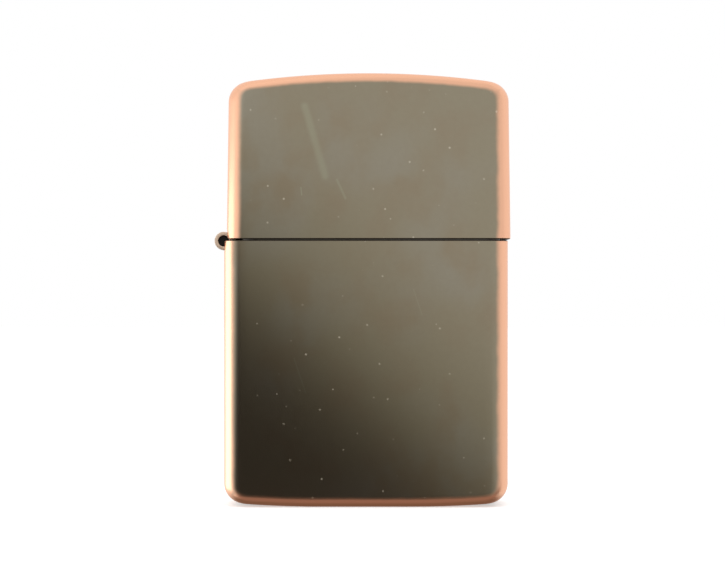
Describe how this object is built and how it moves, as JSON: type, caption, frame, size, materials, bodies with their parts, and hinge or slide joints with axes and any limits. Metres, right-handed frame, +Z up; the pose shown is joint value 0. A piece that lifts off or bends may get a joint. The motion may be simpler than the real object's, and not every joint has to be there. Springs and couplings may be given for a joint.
{
  "type": "flip-top wick lighter",
  "caption": "Windproof flip-top pocket lighter, closed, in antique copper, with a knuckle hinge, snap cam, flint wheel, vented chimney and packed fuel tank.",
  "frame": {"origin": "centre of the base, on the plane that the closed lighter stands on", "axes": "+Z up; +X from the hinge towards the free side; the front face looks along -Y"},
  "size_m": [0.0389, 0.0128, 0.0568],
  "materials": {
    "antique_copper": "satin dark patina over copper, rubbed bright on the edges",
    "pin_steel": "plain ground steel",
    "stainless": "brushed stainless sheet",
    "cam_steel": "tumbled steel",
    "spring_steel": "blued spring steel",
    "wheel_steel": "hardened, black oxide with bright tooth tips",
    "brass": "machined",
    "flint": "matt",
    "wick_cotton": "plaited cotton",
    "rayon": "loose rayon balls",
    "felt": "pressed felt"
  },
  "bodies": {
    "case": {"case_shell": "antique_copper", "case_hinge_leaf": "antique_copper", "hinge_pin": "pin_steel", "insert_tank": "stainless", "insert_top_plate": "stainless", "chimney": "stainless", "cam_rivet": "pin_steel", "wheel_rivet": "pin_steel", "cam_spring": "spring_steel", "cam_spring_rivet": "pin_steel", "flint_tube": "brass", "flint_screw": "brass", "flint_spring": "spring_steel", "wick": "wick_cotton", "packing_wad_1": "rayon", "packing_wad_2": "rayon", "packing_wad_3": "rayon", "packing_wad_4": "rayon", "packing_wad_5": "rayon", "felt_pad": "felt"},
    "lid": {"lid_shell": "antique_copper", "lid_hinge_leaf": "antique_copper"},
    "cam": {"cam": "cam_steel"},
    "wheel": {"flint_wheel": "wheel_steel"},
    "flint": {"flint": "flint", "flint_plunger": "brass"}
  },
  "joints": [
    {"name": "lid_hinge", "type": "hinge", "parent": "case", "child": "lid", "pos_m": [-0.0187, 0, 0.03485], "axis": [0, -1, 0], "range_deg": [0, 145]},
    {"name": "cam_pivot", "type": "hinge", "parent": "case", "child": "cam", "pos_m": [-0.0122, 0, 0.0393], "axis": [0, -1, 0], "range_deg": [-16, 0]},
    {"name": "wheel_spin", "type": "hinge", "parent": "case", "child": "wheel", "pos_m": [0.0096, 0, 0.0496], "axis": [0, 1, 0], "continuous": true},
    {"name": "flint_feed", "type": "slide", "parent": "case", "child": "flint", "axis": [0, 0, 1], "range_m": [-0.004, 0], "stiffness_N_per_m": 250, "springref_m": 0.006, "deforming": ["flint_spring"]}
  ],
  "couplings": [
    {"joint": "cam_pivot", "follows": "lid_hinge", "ratio": -0.11034}
  ]
}
